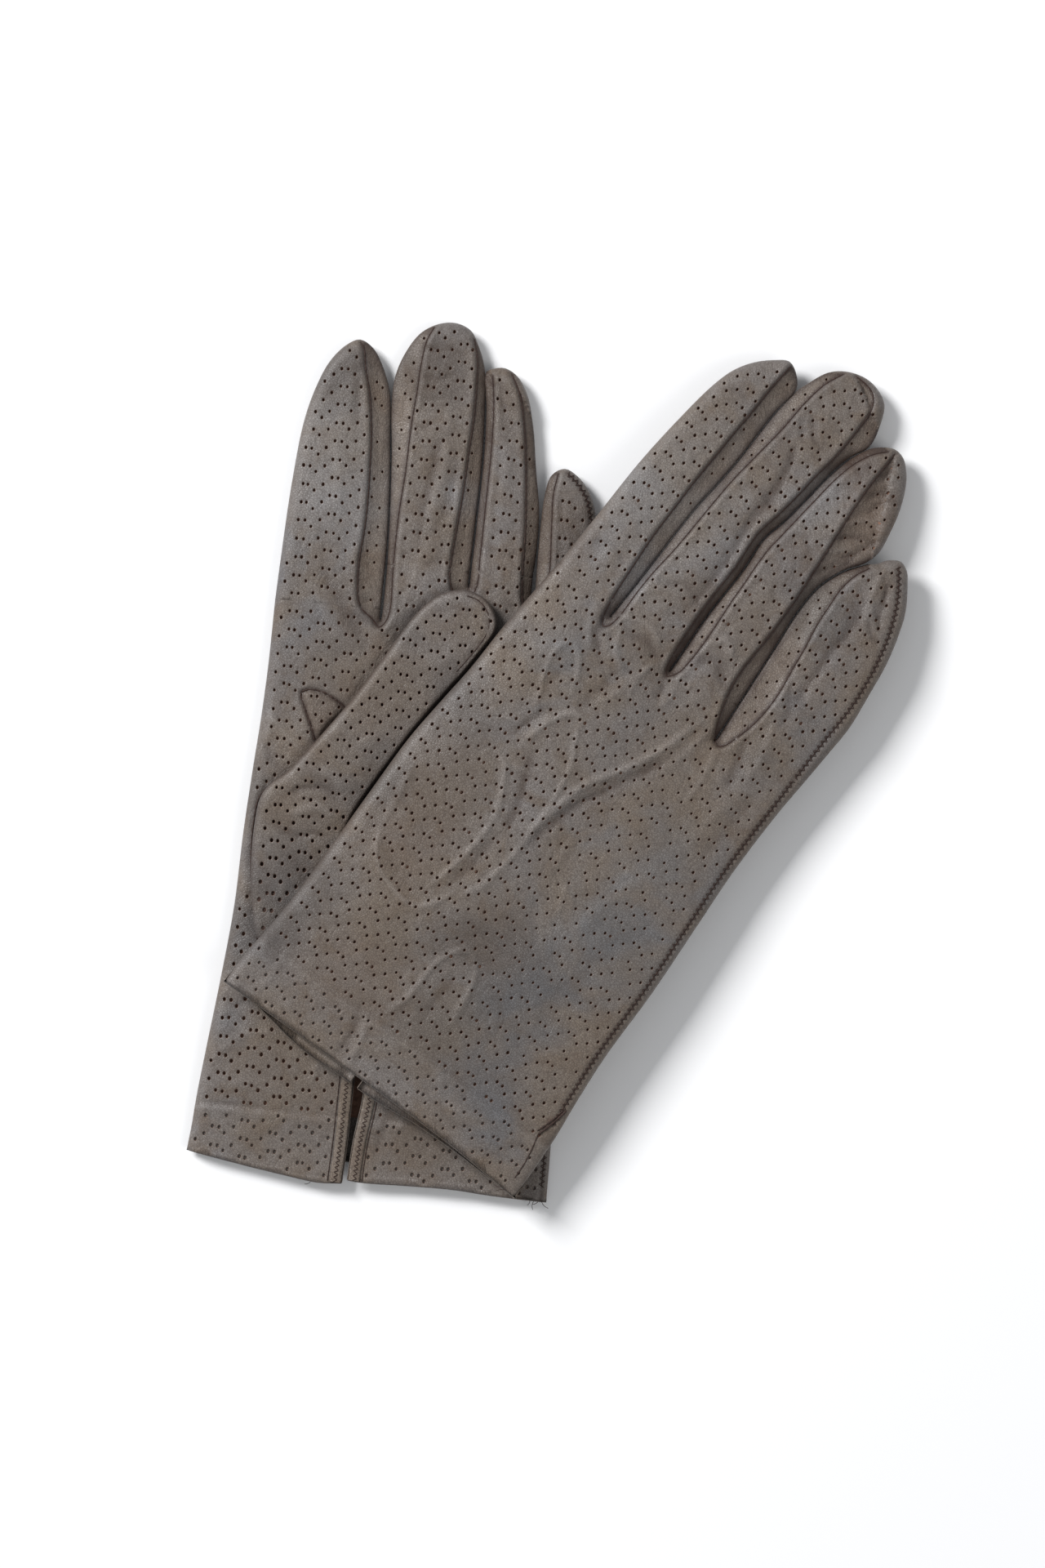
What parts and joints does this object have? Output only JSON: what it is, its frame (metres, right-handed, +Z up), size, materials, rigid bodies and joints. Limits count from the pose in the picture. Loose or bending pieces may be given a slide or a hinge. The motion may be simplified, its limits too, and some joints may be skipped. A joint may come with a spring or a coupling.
{
  "type": "pair of leather driving gloves",
  "caption": "Pair of wrist-length perforated leather gloves lying flat and crossed, one palm up and one back up, with hinged fingers and thumbs.",
  "frame": {"origin": "centre of the pair's footprint, on the table it lies on", "axes": "+X across the pair, +Y towards the fingertips, +Z up off the table; the lower glove's fingers point 5.4 degrees right of +Y and the upper glove's 36 degrees right of it"},
  "size_m": [0.1914, 0.2335, 0.0168],
  "materials": {
    "leather": "perforated grey-brown kid leather with a soft sheen",
    "leather_strip": "browner leather of the finger strips, quirks and bindings",
    "seam": "dark brown zigzag side seam in the leather edge"
  },
  "bodies": {
    "left_hand": {"left_back_panel": "leather", "left_back_hem": "leather", "left_palm_panel": "leather", "left_palm_hem": "leather", "left_index_side_fold": "leather", "left_side_seam": "seam", "left_finger_crotches": "leather_strip", "left_slit_welt_inner": "leather_strip", "left_slit_welt_outer": "leather_strip", "left_thumb_gusset": "leather", "left_thumb_quirk": "leather_strip"},
    "left_index": {"left_index_back": "leather", "left_index_palm": "leather", "left_index_outer_fold": "leather", "left_index_fourchette": "leather_strip"},
    "left_middle": {"left_middle_back": "leather", "left_middle_palm": "leather", "left_middle_fourchette_inner": "leather_strip", "left_middle_fourchette_outer": "leather_strip"},
    "left_ring": {"left_ring_back": "leather", "left_ring_palm": "leather", "left_ring_fourchette_inner": "leather_strip", "left_ring_fourchette_outer": "leather_strip"},
    "left_little": {"left_little_back": "leather", "left_little_palm": "leather", "left_little_fourchette": "leather_strip", "left_little_side_seam": "seam"},
    "left_thumb": {"left_thumb_outer": "leather", "left_thumb_inner": "leather"},
    "right_hand": {"right_back_panel": "leather", "right_back_hem": "leather", "right_palm_panel": "leather", "right_palm_hem": "leather", "right_index_side_fold": "leather", "right_side_seam": "seam", "right_finger_crotches": "leather_strip", "right_slit_welt_inner": "leather_strip", "right_slit_welt_outer": "leather_strip", "right_thumb_gusset": "leather", "right_thumb_quirk": "leather_strip"},
    "right_index": {"right_index_back": "leather", "right_index_palm": "leather", "right_index_outer_fold": "leather", "right_index_fourchette": "leather_strip"},
    "right_middle": {"right_middle_back": "leather", "right_middle_palm": "leather", "right_middle_fourchette_inner": "leather_strip", "right_middle_fourchette_outer": "leather_strip"},
    "right_ring": {"right_ring_back": "leather", "right_ring_palm": "leather", "right_ring_fourchette_inner": "leather_strip", "right_ring_fourchette_outer": "leather_strip"},
    "right_little": {"right_little_back": "leather", "right_little_palm": "leather", "right_little_fourchette": "leather_strip", "right_little_side_seam": "seam"},
    "right_thumb": {"right_thumb_outer": "leather", "right_thumb_inner": "leather"}
  },
  "joints": [
    {"name": "left_index_fold", "type": "hinge", "parent": "left_hand", "child": "left_index", "pos_m": [-0.05837, 0.04207, 0.0032], "axis": [0.9956, -0.0941, 0], "range_deg": [0, 80]},
    {"name": "left_middle_fold", "type": "hinge", "parent": "left_hand", "child": "left_middle", "pos_m": [-0.03121, 0.05155, 0.0032], "axis": [0.9956, -0.0941, 0], "range_deg": [0, 80]},
    {"name": "left_ring_fold", "type": "hinge", "parent": "left_hand", "child": "left_ring", "pos_m": [-0.01175, 0.04971, 0.0032], "axis": [0.9956, -0.0941, 0], "range_deg": [0, 80]},
    {"name": "left_little_spread", "type": "hinge", "parent": "left_hand", "child": "left_little", "pos_m": [0.01211, 0.0354, 0.0032], "axis": [0, 0, -1], "range_deg": [0, 10]},
    {"name": "right_index_fold", "type": "hinge", "parent": "right_hand", "child": "right_index", "pos_m": [0.01098, 0.04714, 0.0136], "axis": [0.809, -0.5878, 0], "range_deg": [0, 80]},
    {"name": "right_middle_fold", "type": "hinge", "parent": "right_hand", "child": "right_middle", "pos_m": [0.02627, 0.03356, 0.0136], "axis": [0.809, -0.5878, 0], "range_deg": [0, 80]},
    {"name": "right_ring_fold", "type": "hinge", "parent": "right_hand", "child": "right_ring", "pos_m": [0.04239, 0.02061, 0.0136], "axis": [0.809, -0.5878, 0], "range_deg": [0, 80]},
    {"name": "right_little_fold", "type": "hinge", "parent": "right_hand", "child": "right_little", "pos_m": [0.05717, 0.00123, 0.0136], "axis": [0.809, -0.5878, 0], "range_deg": [0, 80]},
    {"name": "left_thumb_lift", "type": "hinge", "parent": "left_hand", "child": "left_thumb", "pos_m": [-0.06278, -0.00985, 0.0084], "axis": [0.7743, -0.6328, 0], "range_deg": [0, 90]},
    {"name": "right_thumb_swing", "type": "hinge", "parent": "right_hand", "child": "right_thumb", "pos_m": [-0.01814, -0.02935, 0.0084], "axis": [0, 0, -1], "range_deg": [0, 12]},
    {"name": "right_glove_lift", "type": "slide", "parent": "left_hand", "child": "right_hand", "axis": [0, 0, 1], "range_m": [0, 0.1]}
  ]
}
